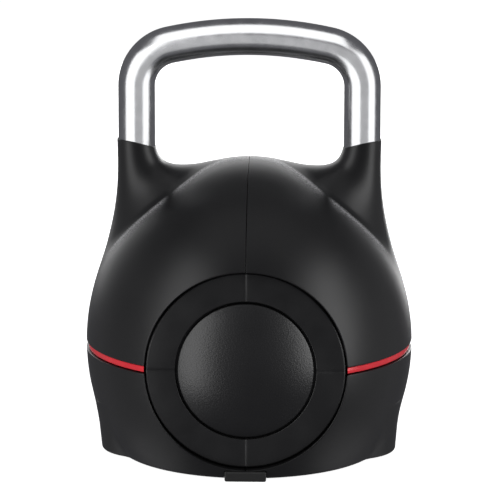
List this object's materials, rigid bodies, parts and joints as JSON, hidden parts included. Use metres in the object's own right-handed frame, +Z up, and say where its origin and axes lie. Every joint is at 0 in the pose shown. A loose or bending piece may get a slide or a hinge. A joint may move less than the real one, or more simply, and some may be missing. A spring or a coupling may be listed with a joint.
{
  "type": "kettlebell",
  "caption": "Adjustable kettlebell: tubular steel handle, black split ball shell with a flat base, and a domed, ring-locked weight cartridge in each round end.",
  "frame": {"origin": "middle of the bounding box's bottom face, where the kettlebell stands", "axes": "+Z up; the handle's grip runs along X; the front lock ring faces -Y and the rear one +Y"},
  "size_m": [0.2504, 0.2282, 0.3339],
  "materials": {
    "shell": "black moulded plastic with a fine spark-eroded grain",
    "ring": "smooth satin black plastic, polished chamfer",
    "dome": "black plastic with a leather-like grain",
    "red": "glossy red moulded strip",
    "rubber": "matte black rubber",
    "chrome": "satin chrome over steel tube",
    "steel": "zinc-plated turned steel",
    "iron": "dark primed cast iron"
  },
  "bodies": {
    "bell": {"upper_shell_left": "shell", "upper_shell_right": "shell", "lower_shell_left": "shell", "lower_shell_right": "shell", "handle_tube": "chrome", "handle_plug_left": "steel", "handle_plug_right": "steel", "handle_bolt_left": "steel", "handle_bolt_right": "steel", "handle_nut_left": "steel", "handle_nut_right": "steel", "handle_gasket_left": "rubber", "handle_gasket_right": "rubber", "core_drum": "iron", "accent_band_left": "red", "accent_band_right": "red", "side_foot_pad_left": "rubber", "side_foot_pad_right": "rubber", "foot_tab_front": "rubber", "foot_tab_rear": "rubber", "flange_screw_front_1": "steel", "flange_screw_front_2": "steel", "flange_screw_front_3": "steel", "flange_screw_front_4": "steel", "flange_screw_rear_1": "steel", "flange_screw_rear_2": "steel", "flange_screw_rear_3": "steel", "flange_screw_rear_4": "steel"},
    "front_cartridge": {"front_spindle_nut": "steel", "front_spindle_washer": "steel", "front_weight_disc_1": "iron", "front_weight_disc_2": "iron", "front_weight_disc_3": "iron", "front_spacer_bush": "steel", "front_base_plate": "steel", "front_spindle": "steel", "front_seal": "rubber", "front_dome_cover": "dome"},
    "rear_cartridge": {"rear_spindle_nut": "steel", "rear_spindle_washer": "steel", "rear_weight_disc_1": "iron", "rear_weight_disc_2": "iron", "rear_weight_disc_3": "iron", "rear_spacer_bush": "steel", "rear_base_plate": "steel", "rear_spindle": "steel", "rear_seal": "rubber", "rear_dome_cover": "dome"},
    "front_ring": {"front_lock_ring": "ring"},
    "rear_ring": {"rear_lock_ring": "ring"}
  },
  "joints": [
    {"name": "front_cartridge_slide", "type": "slide", "parent": "bell", "child": "front_cartridge", "axis": [0, -1, 0], "range_m": [0, 0.1]},
    {"name": "rear_cartridge_slide", "type": "slide", "parent": "bell", "child": "rear_cartridge", "axis": [0, 1, 0], "range_m": [0, 0.1]},
    {"name": "front_ring_turn", "type": "hinge", "parent": "front_cartridge", "child": "front_ring", "pos_m": [0, -0.1, 0.0838], "axis": [0, -1, 0], "range_deg": [0, 90]},
    {"name": "rear_ring_turn", "type": "hinge", "parent": "rear_cartridge", "child": "rear_ring", "pos_m": [0, 0.1, 0.0838], "axis": [0, 1, 0], "range_deg": [0, 90]}
  ]
}
